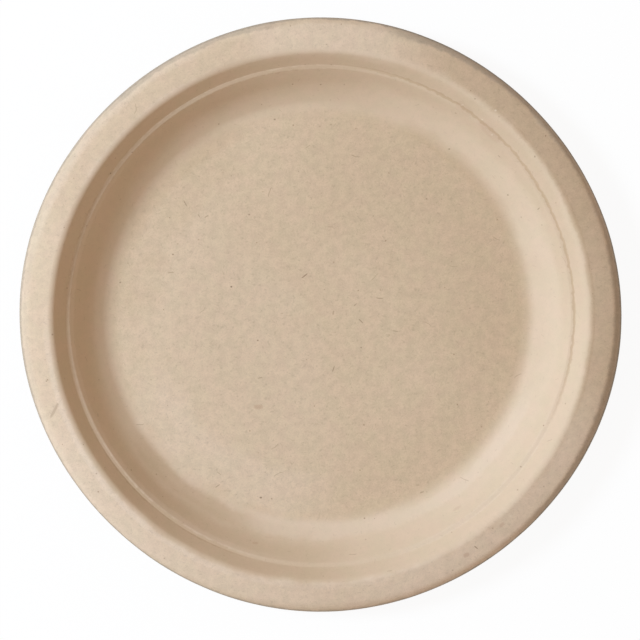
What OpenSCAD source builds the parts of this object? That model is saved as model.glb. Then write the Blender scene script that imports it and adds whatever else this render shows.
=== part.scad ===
// Round plate of moulded plant fibre, pressed to one even wall.
// The section is drawn as the face that holds the food: a chain of corners, each rounded by
// its own bend. The back of the wall runs parallel to that face, and the plate is its revolve.
// Every bend is the radius of its tight side, so it stays true when the wall gets thicker.

/* [Overall] */
// Diameter across the trimmed lip
plate_d = 228; // [180:1:290]
// Height from the table to the top of the rim
plate_h = 18; // [15:0.5:26]
// Thickness of the pressed fibre wall
wall = 0.7; // [0.4:0.05:1.2]

/* [Floor] */
// How far the middle of the floor stands above the foot ring
crown = 2.5; // [0.5:0.1:3]
// Slope of the floor between its raised middle and the foot ring, in degrees
crown_slope = 6; // [4:0.1:8]
// Bend at the edge of the raised middle
crown_bend = 250; // [100:10:400]
// Bend where the floor levels out into the foot ring
foot_rise_bend = 12; // [6:1:60]
// Width of the flat ring that the plate stands on
foot_w = 1; // [0.8:0.1:6]
// Bend where the floor turns up into the side
foot_bend = 7.5; // [4:0.5:15]

/* [Side] */
// Slope of the lower side where it leaves the floor, in degrees
floor_side_slope = 30; // [26:1:41]
// Slope of the lower side where it meets the stacking ledge, in degrees
ledge_side_slope = 49; // [42:1:56]
// Height of the corner where the lower side changes its slope
turn_h = 4.5; // [3:0.1:9]
// Bend between the two slopes of the lower side
turn_bend = 25; // [10:1:80]
// Height of the inner corner of the stacking ledge
ledge_h = 12.2; // [10:0.1:14.5]
// Width of the stacking ledge in plan
ledge_w = 1.5; // [1:0.1:4]
// Slope of the stacking ledge, in degrees
ledge_slope = 18; // [0:1:25]
// Bend at both corners of the stacking ledge
ledge_bend = 0.6; // [0.2:0.1:1.5]
// Slope of the side between the ledge and the rim, in degrees
upper_side_slope = 49; // [40:1:65]

/* [Rim] */
// Width in plan from the top of the rim to the trimmed lip
rim_w = 11.3; // [9:0.1:20]
// Bend over the rounded top of the rim
crest_bend = 2.3; // [1:0.1:4]
// Fall of the rim just outside its top, in degrees
inner_fall = 12; // [6:0.5:15]
// Fall of the rim just before the lip, in degrees
outer_fall = 16; // [15.5:0.5:24]
// Distance in plan from the top of the rim to where its fall changes
fall_change_w = 5; // [3:0.1:6]
// Bend between the two falls of the rim
fall_bend = 50; // [20:5:80]

/* [Lip] */
// Slope of the turned-down lip, in degrees
lip_slope = 58; // [45:1:80]
// Height of the lip, from the corner above it to the trimmed edge
lip_drop = 3.2; // [2.5:0.1:6]
// Bend where the rim turns down into the lip
lip_bend = 4.2; // [1:0.1:6]

/* [Hidden] */
fibre_colour = "#CBB69E";
revolve_facets = 240;
// Largest turn between neighbouring points on a bend, and the fewest steps on a shallow one
bend_step = 4;
fewest_steps = 3;

lip_r = plate_d / 2;
crest_r = lip_r - rim_w;

// The crest is a circle that just reaches plate_h, and two tangents to it meet at its corner
crest_face_bend = crest_bend + wall;
crest_half_turn = (upper_side_slope + inner_fall) / 2;
crest_lean = (upper_side_slope - inner_fall) / 2;
crest_corner = [crest_r, plate_h - crest_face_bend]
    + crest_face_bend / cos(crest_half_turn) * [-sin(crest_lean), cos(crest_lean)];

// From the crest inwards and down to the floor, each corner lies on the slope above it
ledge_out_h = ledge_h + ledge_w * tan(ledge_slope);
ledge_out_r = crest_corner.x - (crest_corner.y - ledge_out_h) / tan(upper_side_slope);
ledge_in_r = ledge_out_r - ledge_w;
turn_r = ledge_in_r - (ledge_h - turn_h) / tan(ledge_side_slope);
floor_r = turn_r - (turn_h - wall) / tan(floor_side_slope);

// The foot ring ends where the bend into the side begins, and keeps its full width
foot_out_r = floor_r - foot_bend * tan(floor_side_slope / 2);
rise_r = foot_out_r - foot_w - foot_rise_bend * tan(crown_slope / 2);
crown_r = rise_r - crown / tan(crown_slope);

// From the crest outwards and down to the trimmed edge
fall_change_r = crest_r + fall_change_w;
fall_change_h = crest_corner.y - (fall_change_r - crest_corner.x) * tan(inner_fall);
lip_corner_r = lip_r - lip_drop / tan(lip_slope);
lip_corner_h = fall_change_h - (lip_corner_r - fall_change_r) * tan(outer_fall);

// The food face from the axis to the trimmed edge: [distance from the axis, height, bend]
face_corners = [
    [0, wall + crown, 0],
    [crown_r, wall + crown, crown_bend],
    [rise_r, wall, foot_rise_bend],
    [floor_r, wall, foot_bend],
    [turn_r, turn_h, turn_bend],
    [ledge_in_r, ledge_h, ledge_bend],
    [ledge_out_r, ledge_out_h, ledge_bend],
    [crest_corner.x, crest_corner.y, crest_bend],
    [fall_change_r, fall_change_h, fall_bend],
    [lip_corner_r, lip_corner_h, lip_bend],
    [lip_r, lip_corner_h - lip_drop, 0]
];
last = len(face_corners) - 1;

// Place of a corner in the section
function place(i) = [face_corners[i].x, face_corners[i].y];

// Slope of the straight from a corner to the next, in degrees, and half of its length
function slope(i) = atan2(place(i + 1).y - place(i).y, place(i + 1).x - place(i).x);
function half_length(i) = norm(place(i + 1) - place(i)) / 2;

// Change of slope at a corner, positive where the food face turns up
function turn(i) = slope(i) - slope(i - 1);

// Unit vectors along the food face and out of it, where it has the given slope
function along(angle) = [cos(angle), sin(angle)];
function outward(angle) = [-sin(angle), cos(angle)];

// Radius of the bend on the food face, which is its loose side where the face turns down
function face_bend(i) = face_corners[i].z + (turn(i) < 0 ? wall : 0);

// Length that a bend takes from each straight beside it, which is never more than half of one
function bend_reach(i) =
    min(face_bend(i) * tan(abs(turn(i)) / 2), half_length(i - 1), half_length(i));

// One corner as a bend: [point on the food face, slope there], from its start to its end.
// The bend's centre is above the face where it turns up, and below where it turns down.
function bend_points(i) =
    let (
        start = place(i) - bend_reach(i) * along(slope(i - 1)),
        to_centre = bend_reach(i) / tan(turn(i) / 2),
        centre = start + to_centre * outward(slope(i - 1)),
        steps = max(fewest_steps, ceil(abs(turn(i)) / bend_step))
    )
    [for (k = [0 : steps])
        let (angle = slope(i - 1) + turn(i) * k / steps)
        [centre - to_centre * outward(angle), angle]];

// The whole food face, with plain ends at the axis and at the trimmed edge
face = concat(
    [[place(0), slope(0)]],
    [for (i = [1 : last - 1]) each bend_points(i)],
    [[place(last), slope(last - 1)]]
);

// Half of the plate's section: the food face outwards, then the back of the wall inwards
module wall_section() {
    front = [for (p = face) p[0]];
    back = [for (k = [len(face) - 1 : -1 : 0]) face[k][0] - wall * outward(face[k][1])];
    polygon(concat(front, back));
}

module plate() {
    color(fibre_colour)
        rotate_extrude($fn = revolve_facets)
            wall_section();
}

plate();
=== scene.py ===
"""Looks of a round plate of moulded plant fibre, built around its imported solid.

The plate is one piece. Its wall is drawn as the food face of its section, revolved, settled
into the slightly uneven shape of a pressed plate, thickened, and softened at its trimmed edge.
Each side of the wall has its own finish: the food face, the underside with the print of the
forming screen, and the raw trimmed edge. All sizes are in metres, and angles in degrees.
"""

import logging
import math
from dataclasses import dataclass, field
from enum import Enum

import bmesh
import bpy
from mathutils import Matrix, Vector, noise


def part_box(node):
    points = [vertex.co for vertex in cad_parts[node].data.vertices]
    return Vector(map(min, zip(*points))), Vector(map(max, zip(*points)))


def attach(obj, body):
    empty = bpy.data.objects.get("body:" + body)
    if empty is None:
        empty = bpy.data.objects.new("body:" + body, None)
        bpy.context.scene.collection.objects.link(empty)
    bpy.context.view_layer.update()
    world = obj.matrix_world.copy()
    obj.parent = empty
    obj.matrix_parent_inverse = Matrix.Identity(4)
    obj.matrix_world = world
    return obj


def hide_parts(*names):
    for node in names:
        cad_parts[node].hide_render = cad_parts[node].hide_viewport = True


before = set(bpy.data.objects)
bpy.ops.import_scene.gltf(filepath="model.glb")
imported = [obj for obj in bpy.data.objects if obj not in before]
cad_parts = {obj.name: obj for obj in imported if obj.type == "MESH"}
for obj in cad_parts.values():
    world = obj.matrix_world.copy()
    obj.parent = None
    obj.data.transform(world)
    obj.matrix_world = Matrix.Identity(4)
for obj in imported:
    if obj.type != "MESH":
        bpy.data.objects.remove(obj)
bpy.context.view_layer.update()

LOG = logging.getLogger("plate")
MM = 0.001

Socket = bpy.types.NodeSocket
Feed = Socket | float | tuple
Colour = tuple[float, float, float]


# Sides of the wall, in the order of the plate's material slots
class WallSide(Enum):
    """One side of the pressed wall, with its place among the plate's materials."""

    FOOD_FACE = 0
    UNDERSIDE = 1
    TRIMMED_EDGE = 2


# The section that the plate is revolved from
@dataclass(frozen=True)
class Corner:
    """A corner of the food face before it is rounded.

    Attributes:
        radius: Distance from the plate's axis.
        height: Height above the table.
        bend: Radius of the bend on its tight side.
    """

    radius: float
    height: float
    bend: float

    def place(self) -> Vector:
        """Gives the corner's place in the plane of the section."""
        return Vector((self.radius, self.height))


@dataclass
class PlateSection:
    """The food face from the axis to the trimmed edge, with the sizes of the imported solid."""

    lip_radius: float
    plate_height: float
    wall: float = 0.7 * MM
    crown: float = 2.5 * MM
    crown_slope: float = 6
    crown_bend: float = 250 * MM
    foot_rise_bend: float = 12 * MM
    foot_width: float = 1 * MM
    foot_bend: float = 7.5 * MM
    floor_side_slope: float = 30
    ledge_side_slope: float = 49
    turn_height: float = 4.5 * MM
    turn_bend: float = 25 * MM
    ledge_height: float = 12.2 * MM
    ledge_width: float = 1.5 * MM
    ledge_slope: float = 18
    ledge_bend: float = 0.6 * MM
    upper_side_slope: float = 49
    rim_width: float = 11.3 * MM
    crest_bend: float = 2.3 * MM
    inner_fall: float = 12
    outer_fall: float = 16
    fall_change_width: float = 5 * MM
    fall_bend: float = 50 * MM
    lip_slope: float = 58
    lip_drop: float = 3.2 * MM
    lip_bend: float = 4.2 * MM

    def crest_corner(self) -> Corner:
        """Finds where the two tangents of the rounded crest meet.

        Returns:
            The corner whose bend just reaches the plate's full height.
        """
        loose_bend = self.crest_bend + self.wall
        half_turn = math.radians((self.upper_side_slope + self.inner_fall) / 2)
        lean = math.radians((self.upper_side_slope - self.inner_fall) / 2)
        reach = loose_bend / math.cos(half_turn)
        return Corner(
            radius=self.lip_radius - self.rim_width - reach * math.sin(lean),
            height=self.plate_height - loose_bend + reach * math.cos(lean),
            bend=self.crest_bend,
        )

    def floor_and_side(self, crest: Corner) -> list[Corner]:
        """Works out the corners from the axis to just before the crest.

        Args:
            crest: The crest's corner, from which the side falls inwards.

        Returns:
            The corners in order outwards.
        """
        ledge_outer_height = self.ledge_height + self.ledge_width * tangent(self.ledge_slope)
        ledge_outer = crest.radius - (crest.height - ledge_outer_height) / tangent(self.upper_side_slope)
        ledge_inner = ledge_outer - self.ledge_width
        turn = ledge_inner - (self.ledge_height - self.turn_height) / tangent(self.ledge_side_slope)
        floor = turn - (self.turn_height - self.wall) / tangent(self.floor_side_slope)
        foot_outer = floor - self.foot_bend * tangent(self.floor_side_slope / 2)
        rise = foot_outer - self.foot_width - self.foot_rise_bend * tangent(self.crown_slope / 2)
        crown = rise - self.crown / tangent(self.crown_slope)
        return [
            Corner(0, self.wall + self.crown, 0),
            Corner(crown, self.wall + self.crown, self.crown_bend),
            Corner(rise, self.wall, self.foot_rise_bend),
            Corner(floor, self.wall, self.foot_bend),
            Corner(turn, self.turn_height, self.turn_bend),
            Corner(ledge_inner, self.ledge_height, self.ledge_bend),
            Corner(ledge_outer, ledge_outer_height, self.ledge_bend),
        ]

    def rim_and_lip(self, crest: Corner) -> list[Corner]:
        """Works out the corners from just after the crest to the trimmed edge.

        Args:
            crest: The crest's corner, from which the rim falls outwards.

        Returns:
            The corners in order outwards.
        """
        change = self.lip_radius - self.rim_width + self.fall_change_width
        change_height = crest.height - (change - crest.radius) * tangent(self.inner_fall)
        lip_corner = self.lip_radius - self.lip_drop / tangent(self.lip_slope)
        lip_corner_height = change_height - (lip_corner - change) * tangent(self.outer_fall)
        return [
            Corner(change, change_height, self.fall_bend),
            Corner(lip_corner, lip_corner_height, self.lip_bend),
            Corner(self.lip_radius, lip_corner_height - self.lip_drop, 0),
        ]

    def corners(self) -> list[Corner]:
        """Gives all corners of the food face, from the axis to the trimmed edge."""
        crest = self.crest_corner()
        return self.floor_and_side(crest) + [crest] + self.rim_and_lip(crest)


def tangent(angle: float) -> float:
    """Gives the tangent of an angle in degrees."""
    return math.tan(math.radians(angle))


class SectionPen:
    """Draws the food face as a chain of short edges in a mesh.

    The pen keeps its last vertex and its heading, and writes on each vertex how far along the
    food face it lies, which the finishes use later.
    """

    def __init__(self, mesh: bmesh.types.BMesh, start: Vector, longest_step: float) -> None:
        """Puts the pen down.

        Args:
            mesh: Mesh that takes the edges.
            start: Distance from the axis and height of the first vertex.
            longest_step: Longest edge that the pen draws.
        """
        self.mesh = mesh
        self.longest_step = longest_step
        self.along_face = mesh.verts.layers.float.new("along_face")
        self.tip = mesh.verts.new((start.x, 0, start.y))
        self.travelled = 0.0
        self.heading = 0.0

    def straight(self, length: float) -> None:
        """Draws a straight of the given length along the heading."""
        steps = max(1, math.ceil(length / self.longest_step))
        step = Vector((math.cos(self.heading), 0, math.sin(self.heading))) * (length / steps)
        for _ in range(steps):
            self.tip = bmesh.ops.extrude_vert_indiv(self.mesh, verts=[self.tip])["verts"][0]
            bmesh.ops.translate(self.mesh, verts=[self.tip], vec=step)
            self.travelled += length / steps
            self.tip[self.along_face] = self.travelled

    def bend(self, radius: float, turn: float, finest_turn: float) -> None:
        """Draws a bend and turns the heading.

        Args:
            radius: Radius of the bend on the food face.
            turn: Change of heading in radians, positive where the face turns up.
            finest_turn: Smallest turn worth an edge of its own, in radians.
        """
        by_turn = math.ceil(abs(turn) / finest_turn)
        by_length = math.ceil(abs(turn) * radius / self.longest_step)
        steps = max(2, by_turn, by_length)
        side = math.copysign(radius, turn)
        centre = self.tip.co + Vector((-math.sin(self.heading), 0, math.cos(self.heading))) * side
        drawn = len(self.mesh.verts)
        bmesh.ops.spin(
            self.mesh,
            geom=[self.tip],
            cent=centre,
            axis=(0, -1, 0),
            angle=turn,
            steps=steps,
            use_duplicate=False,
        )
        self.mesh.verts.ensure_lookup_table()
        for k, vertex in enumerate(self.mesh.verts[drawn:], start=1):
            vertex[self.along_face] = self.travelled + abs(turn) * radius * k / steps
        self.tip = self.mesh.verts[-1]
        self.travelled += abs(turn) * radius
        self.heading += turn


# The plate
@dataclass
class MouldedPlate:
    """The plate's wall as one closed mesh, with its three finishes.

    Attributes:
        section: Sizes of the food face.
        turns: Faces round the plate.
        longest_step: Longest edge along the section.
        finest_turn: Turn of one edge on a bend, in degrees.
        depth_share: Depth over width, because the pressed plate has dried a little out of round.
        trim_round: Rounding of the two edges that the trimming die leaves.
        trim_uneven: How far the trimmed edge strays.
        warp: Height of the slow warp of the rim.
        ripple: Height of the shallow unevenness of the pressed wall.
        off_centre: How far the pressed form lies off the middle of its trimmed outline.
        trim_waves: Waves of the trimmed outline: how many, how high, and their start in degrees.
        underside_shift: How far the underside lies from the food face on the unrolled map.
    """

    section: PlateSection
    turns: int = 400
    longest_step: float = 1.5 * MM
    finest_turn: float = 7
    depth_share: float = 0.9877
    trim_round: float = 0.14 * MM
    trim_uneven: float = 0.1 * MM
    warp: float = 0.25 * MM
    ripple: float = 0.05 * MM
    off_centre: tuple[float, float] = (-0.4 * MM, -0.25 * MM)
    trim_waves: tuple[tuple[int, float, float], ...] = ((2, 0.27 * MM, 90), (4, 0.37 * MM, 15))
    underside_shift: float = 0.3
    trace: list[tuple[float, float]] = field(default_factory=list)

    def draw_food_face(self, mesh: bmesh.types.BMesh) -> None:
        """Draws the rounded section into the mesh and keeps its trace."""
        corners = self.section.corners()
        places = [corner.place() for corner in corners]
        runs = [b - a for a, b in zip(places, places[1:])]
        slopes = [math.atan2(run.y, run.x) for run in runs]
        pen = SectionPen(mesh, places[0], self.longest_step)
        used = 0.0
        for k in range(1, len(runs)):
            turn = slopes[k] - slopes[k - 1]
            loose = self.section.wall if turn < 0 else 0.0
            reach = (corners[k].bend + loose) * math.tan(abs(turn) / 2)
            reach = min(reach, runs[k - 1].length / 2, runs[k].length / 2)
            pen.heading = slopes[k - 1]
            gap = runs[k - 1].length - used - reach
            if gap > 0.01 * MM:
                pen.straight(gap)
            pen.bend(reach / math.tan(abs(turn) / 2), turn, math.radians(self.finest_turn))
            used = reach
        pen.straight(runs[-1].length - used)
        self.trace = [(vertex.co.x, vertex[pen.along_face]) for vertex in mesh.verts]
        LOG.info("section: %d points, %.1f mm along the food face", len(self.trace), pen.travelled / MM)

    def revolve(self, mesh: bmesh.types.BMesh) -> None:
        """Spins the section all the way round and closes the middle."""
        bmesh.ops.spin(
            mesh,
            geom=mesh.verts[:] + mesh.edges[:],
            cent=(0, 0, 0),
            axis=(0, 0, 1),
            angle=math.tau,
            steps=self.turns,
            use_merge=True,
        )
        bmesh.ops.remove_doubles(mesh, verts=mesh.verts[:], dist=1e-7)

    def trim_wave(self, angle: float) -> float:
        """Distance of the trimmed outline outside a true circle, in the given direction."""
        return sum(
            height * math.cos(count * angle + math.radians(start)) for count, height, start in self.trim_waves
        )

    def settle(self, mesh: bmesh.types.BMesh) -> None:
        """Moves the food face as pressing and drying leave it, with the foot ring kept flat."""
        foot_radius = 0.697 * self.section.lip_radius
        mesh.normal_update()
        moves = []
        for vertex in mesh.verts:
            place = vertex.co
            radius = math.hypot(place.x, place.y)
            off_foot = smooth_step(abs(radius - foot_radius) / (12 * MM))
            outwards = smooth_step((radius - foot_radius) / (40 * MM))
            near_trim = smooth_step((radius - 0.975 * self.section.lip_radius) / (3 * MM))
            flat = Vector((place.x, place.y, 0))
            inside_rim = 1 - smooth_step((radius - 104 * MM) / (7 * MM))
            aside = Vector((*self.off_centre, 0)) * inside_rim
            aside += flat.normalized() * near_trim * self.trim_wave(math.atan2(place.y, place.x))
            slow = self.warp * outwards * noise.noise(flat * 14 + Vector((3.1, 0, 0)))
            broad = self.ripple * off_foot * noise.noise(flat * 55 + Vector((0, 7.7, 0)))
            close = 0.5 * self.ripple * off_foot * noise.noise(flat * 130 + Vector((0, 0, 5.3)))
            uneven = self.trim_uneven * near_trim * noise.noise(flat * 170 + Vector((9.4, 0, 0)))
            moves.append(vertex.normal * (broad + close) + aside + Vector((0, 0, slow + uneven)))
        for vertex, move in zip(mesh.verts, moves):
            vertex.co += move

    def thicken(self, mesh: bmesh.types.BMesh) -> None:
        """Gives the sheet its wall, and tells the three sides of it apart."""
        food_points = set(mesh.verts)
        made = bmesh.ops.solidify(mesh, geom=mesh.faces[:], thickness=self.section.wall)
        for face in (part for part in made["geom"] if isinstance(part, bmesh.types.BMFace)):
            joins = any(vertex in food_points for vertex in face.verts)
            side = WallSide.TRIMMED_EDGE if joins else WallSide.UNDERSIDE
            face.material_index = side.value

    def soften_trim(self, mesh: bmesh.types.BMesh) -> None:
        """Rounds the two edges of the trimmed lip a little."""
        trim = WallSide.TRIMMED_EDGE.value
        edges = [
            edge for edge in mesh.edges
            if sum(face.material_index == trim for face in edge.link_faces) == 1
        ]
        bmesh.ops.bevel(
            mesh,
            geom=edges,
            offset=self.trim_round,
            offset_type="OFFSET",
            segments=2,
            profile=0.5,
            affect="EDGES",
            material=-1,
            clamp_overlap=True,
        )

    def unroll(self, mesh: bmesh.types.BMesh) -> None:
        """Lays both sides of the wall out flat, in metres, so that a pattern isn't stretched."""
        along_face = mesh.verts.layers.float["along_face"]
        flat_map = mesh.loops.layers.uv.new("unrolled")
        trim = WallSide.TRIMMED_EDGE.value
        for face in mesh.faces:
            shift = self.underside_shift if face.material_index == WallSide.UNDERSIDE.value else 0.0
            for corner in face.loops:
                place = corner.vert.co
                radius = math.hypot(place.x, place.y)
                reach = corner.vert[along_face]
                if face.material_index == trim:
                    reach += self.section.lip_radius - radius
                scale = reach / radius if radius > 0 else 0.0
                corner[flat_map].uv = (place.x * scale + shift, place.y * scale)

    def unrolled_place(self, x: float, y: float) -> tuple[float, float, float]:
        """Finds a place of the food face on the unrolled map.

        Args:
            x: Place across the plate.
            y: Place along the plate.

        Returns:
            The place on the map, with a height of zero.
        """
        radius = math.hypot(x, y)
        for (low, low_reach), (high, high_reach) in zip(self.trace, self.trace[1:]):
            if radius <= high:
                reach = low_reach + (high_reach - low_reach) * (radius - low) / (high - low)
                return (x * reach / radius, y * reach / radius, 0.0)
        raise ValueError(f"no place on the plate at {x}, {y}")

    def build(self) -> bpy.types.Object:
        """Makes the plate's mesh and puts it in the scene.

        Returns:
            The plate, undressed.
        """
        mesh = bmesh.new()
        self.draw_food_face(mesh)
        self.revolve(mesh)
        self.settle(mesh)
        self.thicken(mesh)
        self.soften_trim(mesh)
        self.unroll(mesh)
        bmesh.ops.scale(mesh, vec=(1, self.depth_share, 1), verts=mesh.verts[:])
        for face in mesh.faces:
            face.smooth = True
        data = bpy.data.meshes.new("moulded_plate")
        mesh.to_mesh(data)
        mesh.free()
        plate = bpy.data.objects.new("moulded_plate", data)
        bpy.context.scene.collection.objects.link(plate)
        triangles = sum(len(face.vertices) - 2 for face in data.polygons)
        LOG.info("moulded_plate: %d points, %d triangles", len(data.vertices), triangles)
        return plate


def smooth_step(value: float) -> float:
    """Eases a value from 0 to 1, and holds it there outside that range."""
    value = min(max(value, 0.0), 1.0)
    return value * value * (3 - 2 * value)


# Node writing
class NodeDesk:
    """Adds nodes to one tree and links them, so that a finish reads as a list of steps."""

    def __init__(self, tree: bpy.types.NodeTree) -> None:
        """Takes the tree that the nodes go into."""
        self.tree = tree

    def add(self, kind: str, feeds: dict[str | int, Feed] | None = None, **settings: object) -> bpy.types.Node:
        """Adds a node.

        Args:
            kind: The node's type name in Blender.
            feeds: What each input takes, as a socket to link or a plain value.
            settings: The node's own options.

        Returns:
            The new node.
        """
        node = self.tree.nodes.new(kind)
        for name, value in settings.items():
            setattr(node, name, value)
        for key, feed in (feeds or {}).items():
            if isinstance(feed, Socket):
                self.tree.links.new(feed, node.inputs[key])
            else:
                node.inputs[key].default_value = feed
        return node

    def calc(self, operation: str, *feeds: Feed, clamp: bool = False) -> Socket:
        """Adds a Math node and gives its result."""
        node = self.add("ShaderNodeMath", dict(enumerate(feeds)), operation=operation, use_clamp=clamp)
        return node.outputs[0]

    def vector(self, operation: str, *feeds: Feed) -> bpy.types.Node:
        """Adds a Vector Math node."""
        return self.add("ShaderNodeVectorMath", dict(enumerate(feeds)), operation=operation)

    def ease(self, value: Feed, start: Feed, end: Feed, low: Feed = 0.0, high: Feed = 1.0) -> Socket:
        """Adds a Map Range node that goes smoothly from low to high.

        Args:
            value: What is mapped.
            start: The value that gives low.
            end: The value that gives high.
            low: Result at the start.
            high: Result at the end.

        Returns:
            The result.
        """
        feeds = {0: value, 1: start, 2: end, 3: low, 4: high}
        return self.add("ShaderNodeMapRange", feeds, interpolation_type="SMOOTHSTEP").outputs[0]

    def blend(self, factor: Feed, first: Feed, second: Feed, mode: str = "MIX") -> Socket:
        """Adds a Mix node for colours.

        Args:
            factor: Share of the second colour.
            first: First colour.
            second: Second colour.
            mode: How the colours are mixed.

        Returns:
            The mixed colour.
        """
        feeds = {0: factor, 6: first, 7: second}
        node = self.add("ShaderNodeMix", feeds, data_type="RGBA", blend_type=mode)
        return node.outputs[2]

    def noise(self, vector: Feed, size: Feed, detail: float = 2.0, roughness: float = 0.5) -> bpy.types.Node:
        """Adds a Noise Texture whose features are about the given size.

        Args:
            vector: Where it is read, in metres.
            size: Size of its features, in metres.
            detail: Number of finer layers.
            roughness: Weight of the finer layers.

        Returns:
            The node.
        """
        scale = self.calc("DIVIDE", 1.0, size) if isinstance(size, Socket) else 1.0 / size
        feeds = {"Vector": vector, "Scale": scale, "Detail": detail, "Roughness": roughness}
        return self.add("ShaderNodeTexNoise", feeds)


def opaque(colour: Colour) -> tuple[float, float, float, float]:
    """Gives a colour its alpha."""
    return (*colour, 1.0)


class Effect:
    """A shader node group with named inputs and outputs, built once and used by several finishes."""

    def __init__(self, name: str, inputs: dict[str, str], outputs: dict[str, str]) -> None:
        """Makes the group's sockets.

        Args:
            name: Name of the group.
            inputs: Type of each input socket by its name.
            outputs: Type of each output socket by its name.
        """
        self.tree = bpy.data.node_groups.new(name, "ShaderNodeTree")
        for label, kind in inputs.items():
            self.tree.interface.new_socket(name=label, in_out="INPUT", socket_type="NodeSocket" + kind)
        for label, kind in outputs.items():
            self.tree.interface.new_socket(name=label, in_out="OUTPUT", socket_type="NodeSocket" + kind)
        self.desk = NodeDesk(self.tree)
        self.entry = self.desk.add("NodeGroupInput")
        self.result = self.desk.add("NodeGroupOutput")

    def given(self, label: str) -> Socket:
        """Gives the inside end of an input."""
        return self.entry.outputs[label]

    def give(self, label: str, socket: Socket) -> None:
        """Links a result to an output."""
        self.tree.links.new(socket, self.result.inputs[label])

    def use(self, desk: NodeDesk, **feeds: Feed) -> bpy.types.Node:
        """Places the group in a finish, with its own values."""
        return desk.add("ShaderNodeGroup", feeds, node_tree=self.tree)


def make_strokes_effect() -> Effect:
    """Builds the scattered fibres: short curved strokes, one at most in each cell of the surface.

    Returns:
        The effect. Mask is the stroke, and Chance a number that differs from stroke to stroke.
    """
    effect = Effect(
        "fibre_strokes",
        {"Vector": "Vector", "Cell": "Float", "Length": "Float", "Width": "Float", "Curl": "Float",
         "Share": "Float"},
        {"Mask": "Float", "Chance": "Float"},
    )
    desk = effect.desk
    wander = desk.noise(effect.given("Vector"), 2.5 * MM, detail=1.0)
    wander = desk.vector("SUBTRACT", wander.outputs["Color"], (0.5, 0.5, 0.5)).outputs[0]
    wander = desk.vector("MULTIPLY", wander, (0.9 * MM, 0.9 * MM, 0)).outputs[0]
    place = desk.vector("ADD", effect.given("Vector"), wander).outputs[0]
    cells = desk.add(
        "ShaderNodeTexVoronoi",
        {"Vector": place, "Scale": desk.calc("DIVIDE", 1.0, effect.given("Cell")), "Randomness": 0.9},
        voronoi_dimensions="2D",
    )
    chance = desk.add("ShaderNodeSeparateColor", {"Color": cells.outputs["Color"]})
    local = desk.vector("SUBTRACT", place, cells.outputs["Position"]).outputs[0]
    angle = desk.calc("MULTIPLY", chance.outputs[0], math.tau)
    turned = desk.add("ShaderNodeVectorRotate", {"Vector": local, "Angle": angle}, rotation_type="Z_AXIS")
    parts = desk.add("ShaderNodeSeparateXYZ", {"Vector": turned.outputs[0]})
    curl = desk.calc("MULTIPLY", desk.calc("SUBTRACT", chance.outputs[1], 0.5), effect.given("Curl"))
    sag = desk.calc("MULTIPLY", desk.calc("POWER", parts.outputs[0], 2.0), curl)
    across = desk.calc("ABSOLUTE", desk.calc("SUBTRACT", parts.outputs[1], sag))
    along = desk.calc("ABSOLUTE", parts.outputs[0])
    half = desk.calc("MULTIPLY", effect.given("Length"), desk.ease(chance.outputs[2], 0.0, 1.0, 0.25, 0.5))
    width = effect.given("Width")
    body = desk.ease(across, desk.calc("MULTIPLY", width, 0.25), desk.calc("MULTIPLY", width, 0.6), 1.0, 0.0)
    ends = desk.ease(along, desk.calc("MULTIPLY", half, 0.7), half, 1.0, 0.0)
    draw = desk.calc("FRACT", desk.calc("MULTIPLY", chance.outputs[2], 7.31))
    kept = desk.calc("LESS_THAN", draw, effect.given("Share"))
    effect.give("Mask", desk.calc("MULTIPLY", desk.calc("MULTIPLY", body, ends), kept))
    effect.give("Chance", desk.calc("FRACT", desk.calc("MULTIPLY", chance.outputs[1], 5.77)))
    return effect


def make_specks_effect() -> Effect:
    """Builds the scattered specks, one at most in each cell of the surface.

    Returns:
        The effect. Mask is the speck, and Chance a number that differs from speck to speck.
    """
    effect = Effect(
        "specks",
        {"Vector": "Vector", "Cell": "Float", "Size": "Float", "Share": "Float"},
        {"Mask": "Float", "Chance": "Float"},
    )
    desk = effect.desk
    wander = desk.noise(effect.given("Vector"), 0.5 * MM, detail=1.0)
    wander = desk.vector("SUBTRACT", wander.outputs["Color"], (0.5, 0.5, 0.5)).outputs[0]
    wander = desk.vector("MULTIPLY", wander, (0.35 * MM, 0.35 * MM, 0)).outputs[0]
    place = desk.vector("ADD", effect.given("Vector"), wander).outputs[0]
    cells = desk.add(
        "ShaderNodeTexVoronoi",
        {"Vector": place, "Scale": desk.calc("DIVIDE", 1.0, effect.given("Cell")), "Randomness": 1.0},
        voronoi_dimensions="2D",
    )
    chance = desk.add("ShaderNodeSeparateColor", {"Color": cells.outputs["Color"]})
    away = desk.vector("DISTANCE", place, cells.outputs["Position"]).outputs["Value"]
    size = desk.calc("MULTIPLY", effect.given("Size"), desk.ease(chance.outputs[0], 0.0, 1.0, 0.25, 0.5))
    spot = desk.ease(away, desk.calc("MULTIPLY", size, 0.4), size, 1.0, 0.0)
    kept = desk.calc("LESS_THAN", chance.outputs[1], effect.given("Share"))
    effect.give("Mask", desk.calc("MULTIPLY", spot, kept))
    effect.give("Chance", chance.outputs[2])
    return effect


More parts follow.
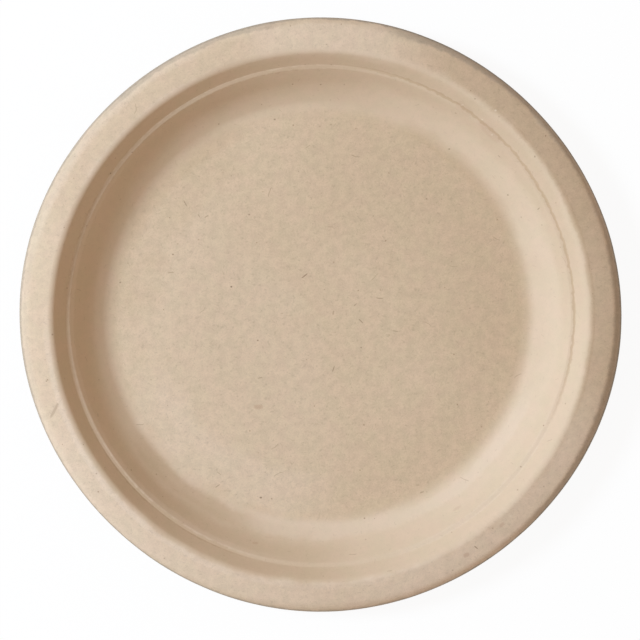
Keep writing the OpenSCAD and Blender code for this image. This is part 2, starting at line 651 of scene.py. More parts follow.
def make_grain_effect() -> Effect:
    """Builds the fine grain of pressed pulp.

    Returns:
        The effect. Fine is the felt of single fibres, Cloud the thicker and thinner places of the
        pulp, Fleck its scattered darker clumps, and Height is felt and places as a height.
    """
    effect = Effect(
        "pulp_grain",
        {"Vector": "Vector", "Size": "Float"},
        {"Fine": "Float", "Cloud": "Float", "Fleck": "Float", "Height": "Float"},
    )
    desk = effect.desk
    size = effect.given("Size")
    pull = desk.noise(effect.given("Vector"), desk.calc("MULTIPLY", size, 6.0), detail=1.0)
    pull = desk.vector("SUBTRACT", pull.outputs["Color"], (0.5, 0.5, 0.5)).outputs[0]
    pulled = desk.vector("SCALE", pull)
    desk.tree.links.new(desk.calc("MULTIPLY", size, 5.0), pulled.inputs["Scale"])
    place = desk.vector("ADD", effect.given("Vector"), pulled.outputs[0]).outputs[0]
    fine = desk.noise(place, size, detail=2.0, roughness=0.6).outputs["Fac"]
    cloud = desk.noise(effect.given("Vector"), desk.calc("MULTIPLY", size, 6.0), detail=2.0).outputs["Fac"]
    effect.give("Fine", desk.ease(fine, 0.25, 0.75))
    effect.give("Cloud", desk.ease(cloud, 0.25, 0.75))
    clump = desk.noise(place, desk.calc("MULTIPLY", size, 2.2), detail=3.0, roughness=0.6).outputs["Fac"]
    effect.give("Fleck", desk.ease(clump, 0.54, 0.72))
    height = desk.calc("ADD", fine, desk.calc("MULTIPLY", cloud, 1.5))
    effect.give("Height", height)
    return effect


def make_mark_effect() -> Effect:
    """Builds one placed mark, such as a stray fibre, a spot or a smudge.

    Returns:
        The effect. Mask is the mark, at full strength in its middle.
    """
    effect = Effect(
        "placed_mark",
        {"Vector": "Vector", "Centre": "Vector", "Angle": "Float", "Length": "Float", "Width": "Float",
         "Curl": "Float"},
        {"Mask": "Float"},
    )
    desk = effect.desk
    local = desk.vector("SUBTRACT", effect.given("Vector"), effect.given("Centre")).outputs[0]
    back = desk.calc("MULTIPLY", effect.given("Angle"), -1.0)
    turned = desk.add("ShaderNodeVectorRotate", {"Vector": local, "Angle": back}, rotation_type="Z_AXIS")
    parts = desk.add("ShaderNodeSeparateXYZ", {"Vector": turned.outputs[0]})
    sag = desk.calc("MULTIPLY", desk.calc("POWER", parts.outputs[0], 2.0), effect.given("Curl"))
    across = desk.calc("DIVIDE", desk.calc("SUBTRACT", parts.outputs[1], sag), effect.given("Width"))
    along = desk.calc("DIVIDE", parts.outputs[0], effect.given("Length"))
    span = desk.calc("ADD", desk.calc("POWER", across, 2.0), desk.calc("POWER", along, 4.0))
    effect.give("Mask", desk.ease(span, 0.02, 0.25, 1.0, 0.0))
    return effect


def make_arc_effect() -> Effect:
    """Builds one soft arc, which follows a ring of the plate for part of its way; the arcs are painted shade and
    painted light, and darker and lighter patches.

    Returns:
        The effect. Mask is the arc, at full strength along its middle.
    """
    effect = Effect(
        "shade_and_tone_arc",
        {"Ahead": "Vector", "Radius": "Float", "Sway": "Float", "Towards": "Vector", "Edge": "Float",
         "Full": "Float", "Reach": "Float", "Width": "Float"},
        {"Mask": "Float"},
    )
    desk = effect.desk
    width = effect.given("Width")
    facing = desk.vector("DOT_PRODUCT", effect.given("Ahead"), effect.given("Towards")).outputs["Value"]
    side = desk.ease(facing, effect.given("Edge"), effect.given("Full"))
    along = desk.calc("ADD", effect.given("Radius"), desk.calc("MULTIPLY", effect.given("Sway"), width))
    off = desk.calc("ABSOLUTE", desk.calc("SUBTRACT", along, effect.given("Reach")))
    ring = desk.ease(off, desk.calc("MULTIPLY", width, 0.4), width, 1.0, 0.0)
    effect.give("Mask", desk.calc("MULTIPLY", side, ring))
    return effect


def make_screen_effect() -> Effect:
    """Builds the print of the woven forming screen.

    Returns:
        The effect. Height is the print as a height, high where the screen was open.
    """
    effect = Effect("screen_print", {"Vector": "Vector", "Pitch": "Float"}, {"Height": "Float"})
    desk = effect.desk
    sway = desk.noise(effect.given("Vector"), 25 * MM, detail=1.0)
    sway = desk.vector("SUBTRACT", sway.outputs["Color"], (0.5, 0.5, 0.5)).outputs[0]
    sway = desk.vector("MULTIPLY", sway, (2 * MM, 2 * MM, 0)).outputs[0]
    parts = desk.add("ShaderNodeSeparateXYZ", {"Vector": desk.vector("ADD", effect.given("Vector"), sway).outputs[0]})
    turn = desk.calc("DIVIDE", math.tau, effect.given("Pitch"))
    warp = desk.calc("SINE", desk.calc("MULTIPLY", parts.outputs[0], turn))
    weft = desk.calc("SINE", desk.calc("MULTIPLY", parts.outputs[1], turn))
    effect.give("Height", desk.calc("MULTIPLY", desk.calc("ADD", warp, 1.0), desk.calc("ADD", weft, 1.0)))
    return effect


@dataclass(frozen=True)
class RingPlace:
    """Where a point lies among the rings of the plate, as the arcs of painted shade and light take it.

    Attributes:
        ahead: Direction from the middle, as a unit vector.
        radius: Distance from the middle along the face, slightly frayed.
        sway: Slow change from -0.5 to 0.5 that makes the arcs wander.
    """

    ahead: Socket
    radius: Socket
    sway: Socket

    @classmethod
    def trace(cls, desk: NodeDesk, place: Socket) -> "RingPlace":
        """Works the values out once for all arcs of a finish."""
        sway = desk.calc("SUBTRACT", desk.noise(place, 12 * MM, detail=3.0).outputs["Fac"], 0.5)
        fray = desk.calc("SUBTRACT", desk.noise(place, 2.4 * MM, detail=2.0).outputs["Fac"], 0.5)
        distance = desk.vector("LENGTH", place).outputs["Value"]
        radius = desk.calc("ADD", distance, desk.calc("MULTIPLY", fray, 2 * MM))
        return cls(desk.vector("NORMALIZE", place).outputs[0], radius, sway)


@dataclass(frozen=True)
class Effects:
    """The node groups that the finishes share."""

    strokes: Effect
    specks: Effect
    grain: Effect
    mark: Effect
    arc: Effect
    screen: Effect

    @classmethod
    def make(cls) -> "Effects":
        """Builds every group once."""
        return cls(
            make_strokes_effect(),
            make_specks_effect(),
            make_grain_effect(),
            make_mark_effect(),
            make_arc_effect(),
            make_screen_effect(),
        )


# Finishes
@dataclass(frozen=True)
class StrokeLayer:
    """One layer of scattered fibres.

    Attributes:
        cell: Size of the cell that holds one fibre at most.
        length: Longest fibre.
        width: Width of a fibre.
        share: Share of the cells that hold one.
        strength: How strongly it colours the surface.
    """

    cell: float
    length: float
    width: float
    share: float
    strength: float


class MarkKind(Enum):
    """What a placed mark is, with its colour."""

    FIBRE = (0.24, 0.16, 0.10)
    SPOT = (0.20, 0.13, 0.08)
    PALE_SPOT = (0.85, 0.74, 0.58)
    SMUDGE = (0.42, 0.26, 0.17)


@dataclass(frozen=True)
class Mark:
    """One mark that sits at a known place of the food face. Its lengths are in millimetres.

    Attributes:
        kind: What it is.
        x: Place across the plate.
        y: Place along the plate.
        strength: How strongly it colours the surface.
        length: Half of its length.
        width: Half of its width.
        angle: Direction of its length, in degrees.
        curl: How strongly it curves, in one over metres.
    """

    kind: MarkKind
    x: float
    y: float
    strength: float
    length: float = 0.4
    width: float = 0.35
    angle: float = 0
    curl: float = 0


class ShadeAndTone(Enum):
    """Colours of the soft arcs: painted shade and painted light, and darker and lighter patches of the pulp."""

    # darker: painted shade and shadow, and darker patches
    BROWN = (0.36, 0.23, 0.11)
    # lighter: painted light and highlights, and lighter patches
    PALE = (0.86, 0.74, 0.63)
    # painted shade along the lip and its trimmed edge
    LIP_SHADE = (0.24, 0.21, 0.17)


@dataclass(frozen=True)
class ShadeAndToneArc:
    """A soft arc along a ring of the plate, darker or lighter: most arcs are painted shade and painted light, the
    rest darker and lighter patches.

    Attributes:
        tone: Its tone.
        strength: How strongly it colours the surface.
        angle: Direction of its middle, in degrees.
        half_span: Half of its span, in degrees, or 180 for a whole ring.
        radius: Radius of the ring as a share of the lip's.
        half_width: Half of its width, in millimetres.
    """

    tone: ShadeAndTone
    strength: float
    angle: float
    half_span: float
    radius: float
    half_width: float

    def towards(self) -> tuple[float, float, float]:
        """Gives the direction of the arc's middle."""
        turn = math.radians(self.angle)
        return (math.cos(turn), math.sin(turn), 0.0)

    def limits(self) -> tuple[float, float]:
        """Gives the cosines where the arc ends and where it reaches its full strength."""
        if self.half_span >= 180:
            return (-2.0, -1.5)
        return (math.cos(math.radians(self.half_span)), math.cos(math.radians(0.55 * self.half_span)))


@dataclass(frozen=True)
class PulpFinish:
    """Pressed unbleached pulp, as all three sides of the wall show it.

    Attributes:
        name: Name of the material.
        warm: Colour of the pinker places.
        cool: Colour of the greener places.
        mottle_size: Size of those places.
        side_tint: What the side and rim multiply their colour by, which makes them a little lighter and less yellow
            than the floor.
        side_calm: Share of the grain that is left on the side.
        grain_size: Size of the finest grain.
        grain_contrast: How much the grain changes the brightness.
        cloud_contrast: How much the thicker and thinner places of the pulp change it.
        grain_height: Height of the grain.
        fleck_strength: How much darker the clumps are.
        screen_height: Height of the screen's print, if there is one.
        roughness: Lowest and highest roughness.
        layers: Scattered fibres.
        arcs: Soft arcs of painted shade and painted light, and darker and lighter patches.
        marks: Marks at known places.
    """

    name: str
    warm: Colour
    cool: Colour
    mottle_size: float = 9 * MM
    side_tint: Colour = (1.0, 1.0, 1.0)
    side_calm: float = 1.0
    grain_size: float = 0.55 * MM
    grain_contrast: float = 0.1
    cloud_contrast: float = 0.05
    grain_height: float = 0.03 * MM
    fleck_strength: float = 0.16
    screen_height: float = 0.0
    roughness: tuple[float, float] = (0.82, 0.95)
    layers: tuple[StrokeLayer, ...] = ()
    arcs: tuple[ShadeAndToneArc, ...] = ()
    marks: tuple[Mark, ...] = ()
    fibre_colour: Colour = (0.30, 0.21, 0.13)
    speck_colour: Colour = (0.26, 0.15, 0.09)

    def make(self, effects: Effects, plate: MouldedPlate) -> bpy.types.Material:
        """Writes the material.

        Args:
            effects: The shared node groups.
            plate: The plate, which knows where each arc and mark lies on the unrolled map.

        Returns:
            The material.
        """
        material = bpy.data.materials.new(self.name)
        material.use_nodes = True
        desk = NodeDesk(material.node_tree)
        shader = desk.tree.nodes["Principled BSDF"]
        place = desk.add("ShaderNodeUVMap", uv_map="unrolled").outputs[0]
        grain = effects.grain.use(desk, Vector=place, Size=self.grain_size)
        colour = self.mottled(desk, place)
        colour = self.tinted(desk, place, colour)
        colour = self.shaded_and_toned(desk, effects, place, colour, plate)
        calm = self.calmed(desk, place, plate)
        colour = self.grained(desk, colour, grain, calm)
        colour, strokes = self.fibred(desk, effects, place, colour)
        colour = self.marked(desk, effects, place, colour, plate)
        height = desk.calc("MULTIPLY", grain.outputs["Height"], desk.calc("MULTIPLY", calm, self.grain_height))
        if strokes is not None:
            height = desk.calc("ADD", height, desk.calc("MULTIPLY", strokes, 0.02 * MM))
        if self.screen_height > 0:
            screen = effects.screen.use(desk, Vector=place, Pitch=1.1 * MM)
            height = desk.calc("ADD", height, desk.calc("MULTIPLY", screen.outputs[0], self.screen_height))
        bump = desk.add("ShaderNodeBump", {"Strength": 1.0, "Distance": 1.0, "Height": height})
        rough = desk.ease(grain.outputs["Cloud"], 0.0, 1.0, *self.roughness)
        desk.tree.links.new(colour, shader.inputs["Base Color"])
        desk.tree.links.new(rough, shader.inputs["Roughness"])
        desk.tree.links.new(bump.outputs[0], shader.inputs["Normal"])
        shader.inputs["IOR"].default_value = 1.45
        shader.inputs["Specular IOR Level"].default_value = 0.3
        return material

    def mottled(self, desk: NodeDesk, place: Socket) -> Socket:
        """Gives the pulp's colour with its pinker and greener places."""
        broad = desk.noise(place, self.mottle_size, detail=3.0, roughness=0.55).outputs["Fac"]
        return desk.blend(desk.ease(broad, 0.35, 0.65), opaque(self.warm), opaque(self.cool))

    def tinted(self, desk: NodeDesk, place: Socket, colour: Socket) -> Socket:
        """Makes the side and rim a little lighter than the floor."""
        along = desk.vector("LENGTH", place).outputs["Value"]
        return desk.blend(desk.ease(along, 78 * MM, 83 * MM), colour, opaque(self.side_tint), "MULTIPLY")

    def calmed(self, desk: NodeDesk, place: Socket, plate: MouldedPlate) -> Socket:
        """Gives the share of the grain at each place, which is full on the floor and nearly so on the rim."""
        along = desk.vector("LENGTH", place).outputs["Value"]
        floor_end, side_start, side_end, rim_start = (
            plate.unrolled_place(share * plate.section.lip_radius, 0.0)[0] for share in (0.66, 0.73, 0.89, 0.91)
        )
        side = desk.ease(along, floor_end, side_start, 1.0, self.side_calm)
        rim = desk.ease(along, side_end, rim_start, 0.0, 0.85 - 0.85 * self.side_calm)
        return desk.calc("ADD", side, rim)

    def grained(self, desk: NodeDesk, colour: Socket, grain: bpy.types.Node, calm: Socket) -> Socket:
        """Makes the colour lighter and darker with the grain, as far as the calm share allows."""
        low, high = 1 - self.grain_contrast / 2, 1 + self.grain_contrast / 2
        fine = desk.ease(grain.outputs["Fine"], 0.0, 1.0, low, high)
        cloud = desk.ease(grain.outputs["Cloud"], 0.0, 1.0, 1 - self.cloud_contrast / 2, 1 + self.cloud_contrast / 2)
        fleck = desk.ease(grain.outputs["Fleck"], 0.0, 1.0, 1.0, 1 - self.fleck_strength)
        shade = desk.calc("MULTIPLY", desk.calc("MULTIPLY", fine, cloud), fleck)
        return desk.blend(calm, colour, shade, "MULTIPLY")

    def fibred(self, desk: NodeDesk, effects: Effects, place: Socket, colour: Socket) -> tuple[Socket, Socket | None]:
        """Lays the scattered fibres and specks over the colour.

        Args:
            desk: Where the nodes go.
            effects: The shared node groups.
            place: Place on the unrolled map.
            colour: Colour so far.

        Returns:
            The colour, and a mask of all strokes for the bump.
        """
        height = None
        for k, layer in enumerate(self.layers):
            moved = desk.vector("ADD", place, (0.013 * k, 0.029 * k, 0)).outputs[0]
            node = effects.strokes.use(
                desk, Vector=moved, Cell=layer.cell, Length=layer.length, Width=layer.width, Curl=300.0,
                Share=layer.share,
            )
            force = desk.ease(node.outputs["Chance"], 0.0, 1.0, 0.25 * layer.strength, layer.strength)
            mask = desk.calc("MULTIPLY", node.outputs["Mask"], force)
            colour = desk.blend(mask, colour, opaque(self.fibre_colour))
            height = mask if height is None else desk.calc("ADD", height, mask)
        specks = effects.specks.use(desk, Vector=place, Cell=9 * MM, Size=0.9 * MM, Share=0.35)
        force = desk.ease(specks.outputs["Chance"], 0.0, 1.0, 0.08, 0.6)
        colour = desk.blend(desk.calc("MULTIPLY", specks.outputs["Mask"], force), colour, opaque(self.speck_colour))
        return colour, height

    def marked(
        self, desk: NodeDesk, effects: Effects, place: Socket, colour: Socket, plate: MouldedPlate
    ) -> Socket:
        """Lays the placed marks over the colour, kind by kind."""
        for kind in MarkKind:
            layers = []
            for mark in (one for one in self.marks if one.kind is kind):
                node = effects.mark.use(
                    desk, Vector=place, Centre=plate.unrolled_place(mark.x * MM, mark.y * MM),
                    Angle=math.radians(mark.angle), Length=1.4 * mark.length * MM,
                    Width=2 * mark.width * MM, Curl=mark.curl,
                )
                layers.append((node.outputs["Mask"], mark.strength))
            colour = self.covered(desk, colour, layers, kind.value)
        return colour

    def shaded_and_toned(
        self, desk: NodeDesk, effects: Effects, place: Socket, colour: Socket, plate: MouldedPlate
    ) -> Socket:
        """Lays the soft arcs of painted shade and light over the colour, one colour at a time."""
        ring = RingPlace.trace(desk, place)
        for tone in ShadeAndTone:
            layers = []
            for arc in (one for one in self.arcs if one.tone is tone):
                edge, full = arc.limits()
                reach = plate.unrolled_place(arc.radius * plate.section.lip_radius, 0.0)[0]
                node = effects.arc.use(
                    desk, Ahead=ring.ahead, Radius=ring.radius, Sway=ring.sway, Towards=arc.towards(),
                    Edge=edge, Full=full, Reach=reach, Width=arc.half_width * MM,
                )
                layers.append((node.outputs["Mask"], arc.strength))
            colour = self.covered(desk, colour, layers, tone.value)
        return colour

    def covered(
        self, desk: NodeDesk, colour: Socket, layers: list[tuple[Socket, float]], tint: Colour
    ) -> Socket:
        """Lays several thin layers of one tint over a colour.

        Args:
            desk: Node tree of the finish.
            colour: Colour below.
            layers: Mask and strength of each layer.
            tint: Colour of the layers.

        Returns:
            The covered colour.
        """
        bare = None
        for mask, strength in layers:
            left = desk.calc("SUBTRACT", 1.0, desk.calc("MULTIPLY", mask, strength))
            bare = left if bare is None else desk.calc("MULTIPLY", bare, left)
        if bare is None:
            return colour
        return desk.blend(desk.calc("SUBTRACT", 1.0, bare), colour, opaque(tint))


# Studio and camera
@dataclass
class Studio:
    """Pale floor, soft ambient light, and one soft lamp low on the left.

    Attributes:
        floor_size: Width of the floor.
        floor_white: Share of plain white in what the camera sees of the floor.
        ambient: Colour and strength of the light from all round.
        key_colour: Colour of the lamp.
        key_power: Power of the lamp, in watts.
        key_distance: Distance of the lamp from the plate.
        key_size: Width of the lamp.
        key_elevation: Height of the lamp above the table, in degrees.
        key_azimuth: Direction of the lamp, in degrees from +X towards +Y.
    """

    floor_size: float = 6.0
    floor_white: float = 0.93
    ambient: Colour = (0.507, 0.404, 0.325)
    key_colour: Colour = (0.81, 0.985, 1.188)
    key_power: float = 57.5
    key_distance: float = 2.5
    key_size: float = 0.7
    key_elevation: float = 39.5
    key_azimuth: float = 167

    def build(self) -> None:
        """Makes the floor, the lamp and the ambient light."""
        self.make_floor()
        self.make_key()
        self.make_ambient()
        LOG.info("studio: floor, lamp and ambient light")

    def make_floor(self) -> None:
        """Makes a floor that looks white and keeps a faint shadow of the plate."""
        mesh = bmesh.new()
        bmesh.ops.create_grid(mesh, x_segments=1, y_segments=1, size=self.floor_size / 2)
        data = bpy.data.meshes.new("floor")
        mesh.to_mesh(data)
        mesh.free()
        floor = bpy.data.objects.new("floor", data)
        bpy.context.scene.collection.objects.link(floor)
        material = bpy.data.materials.new("pale_floor")
        material.use_nodes = True
        desk = NodeDesk(material.node_tree)
        desk.tree.nodes.remove(desk.tree.nodes["Principled BSDF"])
        matt = desk.add("ShaderNodeBsdfDiffuse", {"Color": (0.95, 0.95, 0.95, 1)})
        white = desk.add("ShaderNodeEmission", {"Color": (1, 1, 1, 1), "Strength": 1.0})
        share = desk.calc("MULTIPLY", self.seen(desk), self.floor_white)
        both = desk.add("ShaderNodeMixShader", {0: share, 1: matt.outputs[0], 2: white.outputs[0]})
        output = desk.tree.nodes["Material Output"]
        desk.tree.links.new(both.outputs[0], output.inputs["Surface"])
        data.materials.append(material)

    def seen(self, desk: NodeDesk) -> Socket:
        """Gives 1 for what the camera sees directly, in gloss or through something clear."""
        path = desk.add("ShaderNodeLightPath")
        mirrored = desk.calc("MAXIMUM", path.outputs["Is Glossy Ray"], path.outputs["Is Transmission Ray"])
        return desk.calc("MAXIMUM", path.outputs["Is Camera Ray"], mirrored)

    def make_key(self) -> None:
        """Makes the soft lamp."""
        lamp = bpy.data.lights.new("key_lamp", "AREA")
        lamp.shape = "DISK"
        lamp.size = self.key_size
        lamp.energy = self.key_power
        lamp.color = self.key_colour
        azimuth, elevation = math.radians(self.key_azimuth), math.radians(self.key_elevation)
        towards = Vector((
            math.cos(azimuth) * math.cos(elevation),
            math.sin(azimuth) * math.cos(elevation),
            math.sin(elevation),
        ))
        holder = bpy.data.objects.new("key_lamp", lamp)
        holder.location = towards * self.key_distance
        holder.rotation_mode = "QUATERNION"
        holder.rotation_quaternion = (-towards).to_track_quat("-Z", "Y")
        bpy.context.scene.collection.objects.link(holder)

    def make_ambient(self) -> None:
        """Makes the light from all round, which looks white to the camera."""
        world = bpy.data.worlds.new("studio_air")
        world.use_nodes = True
        bpy.context.scene.world = world
        desk = NodeDesk(world.node_tree)
        desk.tree.nodes.clear()
        light = desk.add("ShaderNodeBackground", {"Color": opaque(self.ambient), "Strength": 1.0})
        white = desk.add("ShaderNodeBackground", {"Color": (1, 1, 1, 1), "Strength": 1.0})
        both = desk.add("ShaderNodeMixShader", {0: self.seen(desk), 1: light.outputs[0], 2: white.outputs[0]})
        desk.add("ShaderNodeOutputWorld", {"Surface": both.outputs[0]})


@dataclass
class OverheadCamera:
    """The camera above the plate, with the photograph's framing.

    Attributes:
        distance: Distance from the plate.
        lens: Focal length for a sensor 36 mm wide.
        aim: Point that the middle of the picture shows.
        lean_left: How far the camera stands to the left of straight above, in degrees.
        lean_back: How far it stands towards +Y, in degrees.
    """

    distance: float = 0.9
    lens: float = 133.5
    aim: tuple[float, float, float] = (-0.92 * MM, -1.17 * MM, 13.2 * MM)
    lean_left: float = 2.7
    lean_back: float = 3.5

    def build(self) -> None:
        """Makes the camera and gives it to the scene."""
        back = Vector((-tangent(self.lean_left), tangent(self.lean_back), 1.0)).normalized()
        right = Vector((0, 1, 0)).cross(back).normalized()
        up = back.cross(right)
        camera = bpy.data.cameras.new("overhead_camera")
        camera.lens = self.lens
        camera.sensor_width = 36
        camera.dof.use_dof = False
        holder = bpy.data.objects.new("overhead_camera", camera)
        holder.location = Vector(self.aim) + back * self.distance
        holder.rotation_mode = "QUATERNION"
        holder.rotation_quaternion = Matrix((right, up, back)).transposed().to_quaternion()
        bpy.context.scene.collection.objects.link(holder)
        bpy.context.scene.camera = holder
        LOG.info("camera: %.2f m above the plate", self.distance)


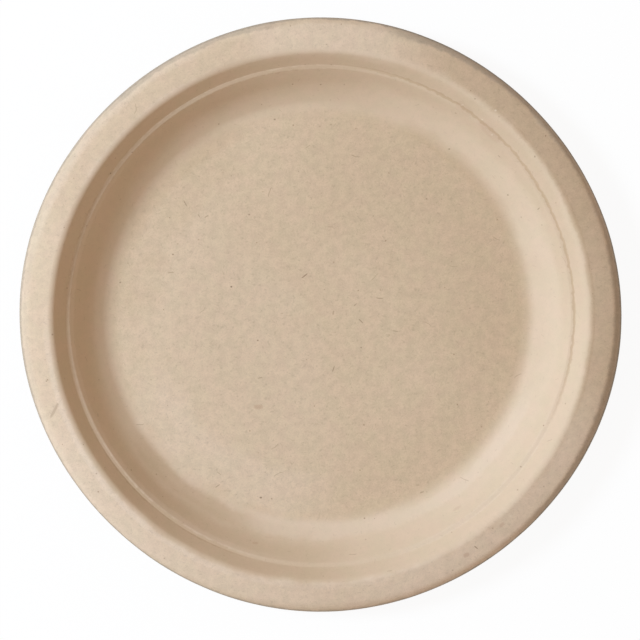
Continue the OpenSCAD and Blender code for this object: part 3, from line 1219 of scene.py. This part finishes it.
FOOD_FACE = PulpFinish(
    name="pressed_food_face",
    warm=(0.615, 0.473, 0.331),
    cool=(0.597, 0.473, 0.324),
    mottle_size=9 * MM,
    grain_contrast=0.09,
    cloud_contrast=0.085,
    fleck_strength=0.12,
    side_tint=(1.05, 1.06, 1.095),
    side_calm=0.3,
    layers=(
        StrokeLayer(cell=27 * MM, length=4.5 * MM, width=0.3 * MM, share=0.35, strength=0.5),
        StrokeLayer(cell=5.5 * MM, length=1.9 * MM, width=0.32 * MM, share=0.6, strength=0.2),
    ),
    arcs=(
        # Darker and lighter patches round the rim, browner towards the upper right
        ShadeAndToneArc(ShadeAndTone.BROWN, 0.29, 42, 34, 0.94, 6.5),
        ShadeAndToneArc(ShadeAndTone.BROWN, 0.15, 0, 18, 0.945, 8),
        ShadeAndToneArc(ShadeAndTone.PALE, 0.1, 90, 17, 0.945, 8),
        ShadeAndToneArc(ShadeAndTone.BROWN, 0.13, 132, 34, 0.935, 8.5),
        ShadeAndToneArc(ShadeAndTone.PALE, 0.11, 238, 44, 0.945, 8),
        ShadeAndToneArc(ShadeAndTone.PALE, 0.18, 308, 38, 0.953, 8),
        # Painted shade on the lip where it faces away from the lamp and where little light reaches it from below
        ShadeAndToneArc(ShadeAndTone.LIP_SHADE, 0.4, 350, 44, 0.988, 3),
        ShadeAndToneArc(ShadeAndTone.LIP_SHADE, 0.46, 52, 30, 0.988, 3),
        ShadeAndToneArc(ShadeAndTone.BROWN, 0.15, 92, 12, 0.99, 2),
        ShadeAndToneArc(ShadeAndTone.LIP_SHADE, 0.36, 117, 22, 0.991, 2.4),
        # Painted highlight on the lip's bend on the lamp's side
        ShadeAndToneArc(ShadeAndTone.PALE, 0.1, 140, 30, 0.974, 2),
        ShadeAndToneArc(ShadeAndTone.LIP_SHADE, 0.12, 165, 40, 0.99, 3),
        # The crest a little lighter at the top
        ShadeAndToneArc(ShadeAndTone.PALE, 0.07, 92, 22, 0.884, 3),
        # Painted shade along the trimmed edge, all round and more on the right
        ShadeAndToneArc(ShadeAndTone.LIP_SHADE, 0.4, 0, 180, 0.998, 1.4),
        ShadeAndToneArc(ShadeAndTone.LIP_SHADE, 0.5, 8, 100, 1, 1.4),
        # The floor lighter near its edge towards the lower left
        ShadeAndToneArc(ShadeAndTone.PALE, 0.11, 236, 42, 0.62, 13),
        # Painted shadow at the floor's edge on the lamp's side, where the rim's shadow begins
        ShadeAndToneArc(ShadeAndTone.BROWN, 0.1, 150, 38, 0.62, 12),
        # Painted shadow and painted light where the rim's shadow crosses the foot of the side: darker at the upper
        # left and lower left, lighter at the left, the bottom and the right
        ShadeAndToneArc(ShadeAndTone.BROWN, 0.14, 135, 28, 0.688, 5),
        ShadeAndToneArc(ShadeAndTone.BROWN, 0.2, 232, 22, 0.745, 4.5),
        ShadeAndToneArc(ShadeAndTone.PALE, 0.08, 180, 20, 0.738, 4),
        ShadeAndToneArc(ShadeAndTone.PALE, 0.13, 272, 26, 0.737, 5),
        ShadeAndToneArc(ShadeAndTone.PALE, 0.05, 345, 55, 0.768, 9),
        # A darker patch on the upper side towards the upper right; painted light on the shaded side at the upper
        # left, and painted shade on it at the lower left
        ShadeAndToneArc(ShadeAndTone.BROWN, 0.12, 48, 58, 0.843, 9),
        ShadeAndToneArc(ShadeAndTone.PALE, 0.07, 140, 30, 0.83, 14),
        ShadeAndToneArc(ShadeAndTone.BROWN, 0.17, 246, 34, 0.83, 15),
        # The floor a little darker towards the upper right and lighter towards the lower left
        ShadeAndToneArc(ShadeAndTone.BROWN, 0.085, 38, 70, 0.5, 38),
        ShadeAndToneArc(ShadeAndTone.PALE, 0.06, 205, 85, 0.35, 45),
        # Painted shade in the crease of the ledge at the upper right and over its lit face at the upper left and
        # lower left, with painted light on the ledge at the lower right and at the left
        ShadeAndToneArc(ShadeAndTone.BROWN, 0.34, 30, 62, 0.848, 0.8),
        ShadeAndToneArc(ShadeAndTone.BROWN, 0.26, 130, 56, 0.8395, 1.1),
        ShadeAndToneArc(ShadeAndTone.BROWN, 0.22, 230, 26, 0.846, 1.1),
        ShadeAndToneArc(ShadeAndTone.PALE, 0.1, 312, 30, 0.842, 1.6),
        ShadeAndToneArc(ShadeAndTone.PALE, 0.16, 195, 72, 0.83, 1.8),
        # Painted shadow at the crest on the right, and the crest lighter at the lower left
        ShadeAndToneArc(ShadeAndTone.BROWN, 0.18, 12, 44, 0.902, 1.4),
        ShadeAndToneArc(ShadeAndTone.PALE, 0.14, 218, 44, 0.909, 1.6),
        # Painted shade in the corner of the floor towards the upper right, and painted light at the foot of the lit
        # side at the lower right
        ShadeAndToneArc(ShadeAndTone.BROWN, 0.12, 45, 26, 0.705, 4.5),
        ShadeAndToneArc(ShadeAndTone.PALE, 0.13, 315, 28, 0.752, 3.4),
        # The crest a little lighter at the upper left and at the bottom, and the side darker at the bottom and the
        # top
        ShadeAndToneArc(ShadeAndTone.PALE, 0.1, 134, 24, 0.897, 1.2),
        ShadeAndToneArc(ShadeAndTone.PALE, 0.1, 272, 26, 0.905, 1.8),
        ShadeAndToneArc(ShadeAndTone.BROWN, 0.07, 265, 25, 0.87, 5),
        ShadeAndToneArc(ShadeAndTone.BROWN, 0.08, 100, 25, 0.78, 7),
    ),
    marks=(
        Mark(MarkKind.FIBRE, -6.4, 15.4, 0.75, 1.7, 0.28, 40, 40),
        Mark(MarkKind.FIBRE, -51.8, 43.4, 0.5, 1.6, 0.26, -62),
        Mark(MarkKind.FIBRE, -43.7, 38.3, 0.45, 1, 0.28, 30),
        Mark(MarkKind.FIBRE, -46.6, 38.6, 0.4, 0.8, 0.26, -60),
        Mark(MarkKind.FIBRE, 15.6, -2.3, 0.6, 1.4, 0.24, -45),
        Mark(MarkKind.FIBRE, 22.9, 6.7, 0.5, 1.6, 0.26, -5, 90),
        Mark(MarkKind.FIBRE, 4.7, -20.7, 0.55, 1.4, 0.28, 72),
        Mark(MarkKind.FIBRE, 28.9, -6.3, 0.4, 1.4, 0.26, -10),
        Mark(MarkKind.FIBRE, 3.6, 34.6, 0.35, 1.2, 0.28),
        Mark(MarkKind.FIBRE, 5.1, 1.1, 0.4, 1, 0.4, 80),
        Mark(MarkKind.FIBRE, 13.5, 4.2, 0.4, 0.8, 0.28, 40),
        Mark(MarkKind.FIBRE, -39.6, -66.3, 0.5, 1.3, 0.26, 35),
        Mark(MarkKind.FIBRE, -23.1, -23.9, 0.45, 1, 0.26, 10),
        Mark(MarkKind.FIBRE, 39.1, -69.7, 0.45, 1, 0.3, 20),
        Mark(MarkKind.FIBRE, 37.3, -66.8, 0.3, 0.9, 0.3),
        Mark(MarkKind.FIBRE, -101.0, -35.3, 0.32, 4.1, 0.75, 61, 16),
        Mark(MarkKind.FIBRE, 58.4, -89.0, 0.7, 1.1, 0.3, -40),
        Mark(MarkKind.FIBRE, -84.8, -37.6, 0.3, 0.9, 0.35, 88),
        Mark(MarkKind.FIBRE, 83.1, 41.6, 0.5, 0.9, 0.3, 45),
        Mark(MarkKind.FIBRE, 68.0, 61.9, 0.45, 0.7, 0.3, -40),
        Mark(MarkKind.SPOT, -34.1, 11.1, 0.85, 0.42, 0.4),
        Mark(MarkKind.SPOT, -27.5, 39.1, 0.5, 0.42, 0.4),
        Mark(MarkKind.SPOT, -56.4, 23.6, 0.55, 0.45, 0.4),
        Mark(MarkKind.SPOT, -23.1, -71.0, 0.75, 0.5, 0.45),
        Mark(MarkKind.SPOT, -17.7, 76.0, 0.6, 0.42, 0.4),
        Mark(MarkKind.SPOT, -79.7, 54.9, 0.6, 0.42, 0.4),
        Mark(MarkKind.SPOT, -23.9, -9.5, 0.6, 0.4, 0.38),
        Mark(MarkKind.SPOT, 15.5, -12.7, 0.5, 0.38, 0.36),
        Mark(MarkKind.SPOT, -103.8, -23.9, 0.5, 0.42, 0.4),
        Mark(MarkKind.SPOT, -76.5, 12.8, 0.5, 0.42, 0.4),
        Mark(MarkKind.SPOT, 49.6, 64.8, 0.5, 0.42, 0.4),
        Mark(MarkKind.SPOT, 72.1, 46.9, 0.5, 0.42, 0.4),
        Mark(MarkKind.SPOT, 80.4, 61.7, 0.5, 0.5, 0.34, 90),
        Mark(MarkKind.SPOT, 57.5, 83.7, 0.45, 0.4, 0.36),
        Mark(MarkKind.SPOT, 49.6, -97.9, 0.4, 0.42, 0.4),
        Mark(MarkKind.PALE_SPOT, 65.3, 79.3, 0.45, 0.5, 0.45),
        Mark(MarkKind.PALE_SPOT, 53.1, 81.5, 0.3, 0.8, 0.5, 20),
        Mark(MarkKind.PALE_SPOT, 60.8, 76.0, 0.35, 0.5, 0.45),
        Mark(MarkKind.PALE_SPOT, 64.7, 70.1, 0.35, 0.5, 0.45),
        Mark(MarkKind.PALE_SPOT, 71.7, -76.8, 0.3, 0.8, 0.5, 30),
        Mark(MarkKind.SMUDGE, -23.9, -35.2, 0.35, 2, 1.2),
        Mark(MarkKind.SMUDGE, 54.7, -91.9, 0.35, 1.5, 1.1, 25),
        Mark(MarkKind.SMUDGE, 68.3, -80.3, 0.3, 1.5, 0.9, 45),
        Mark(MarkKind.SMUDGE, 52.1, -75.1, 0.2, 2.2, 0.9, 30),
        Mark(MarkKind.SMUDGE, -25.4, -87.8, 0.3, 1.4, 0.8),
        Mark(MarkKind.SMUDGE, 63.9, 71.1, 0.2, 6.5, 2.6, -45),
        Mark(MarkKind.SMUDGE, 54.0, 80.3, 0.16, 4.5, 3, -40),
    ),
)
UNDERSIDE = PulpFinish(
    name="screened_underside",
    warm=(0.61, 0.47, 0.345),
    cool=(0.57, 0.46, 0.33),
    grain_contrast=0.14,
    grain_height=0.04 * MM,
    screen_height=0.02 * MM,
    layers=(StrokeLayer(cell=7 * MM, length=4 * MM, width=0.4 * MM, share=0.6, strength=0.5),),
)
TRIMMED_EDGE = PulpFinish(
    name="raw_trimmed_edge",
    warm=(0.58, 0.46, 0.345),
    cool=(0.52, 0.42, 0.32),
    mottle_size=4 * MM,
    grain_size=0.3 * MM,
    grain_contrast=0.3,
    grain_height=0.06 * MM,
    roughness=(0.9, 1.0),
)


def main() -> None:
    """Builds the plate, its finishes, the studio and the camera."""
    logging.basicConfig(level=logging.INFO, format="%(name)s: %(message)s")
    low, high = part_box("plate")
    bpy.context.scene.view_settings.view_transform = "Standard"
    OverheadCamera().build()
    Studio().build()
    plate = MouldedPlate(PlateSection(lip_radius=high.x, plate_height=high.z))
    piece = plate.build()
    effects = Effects.make()
    for finish in (FOOD_FACE, UNDERSIDE, TRIMMED_EDGE):
        piece.data.materials.append(finish.make(effects, plate))
        LOG.info("finish: %s", finish.name)
    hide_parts("plate")
    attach(piece, "root")


if __name__ == "__main__":
    main()
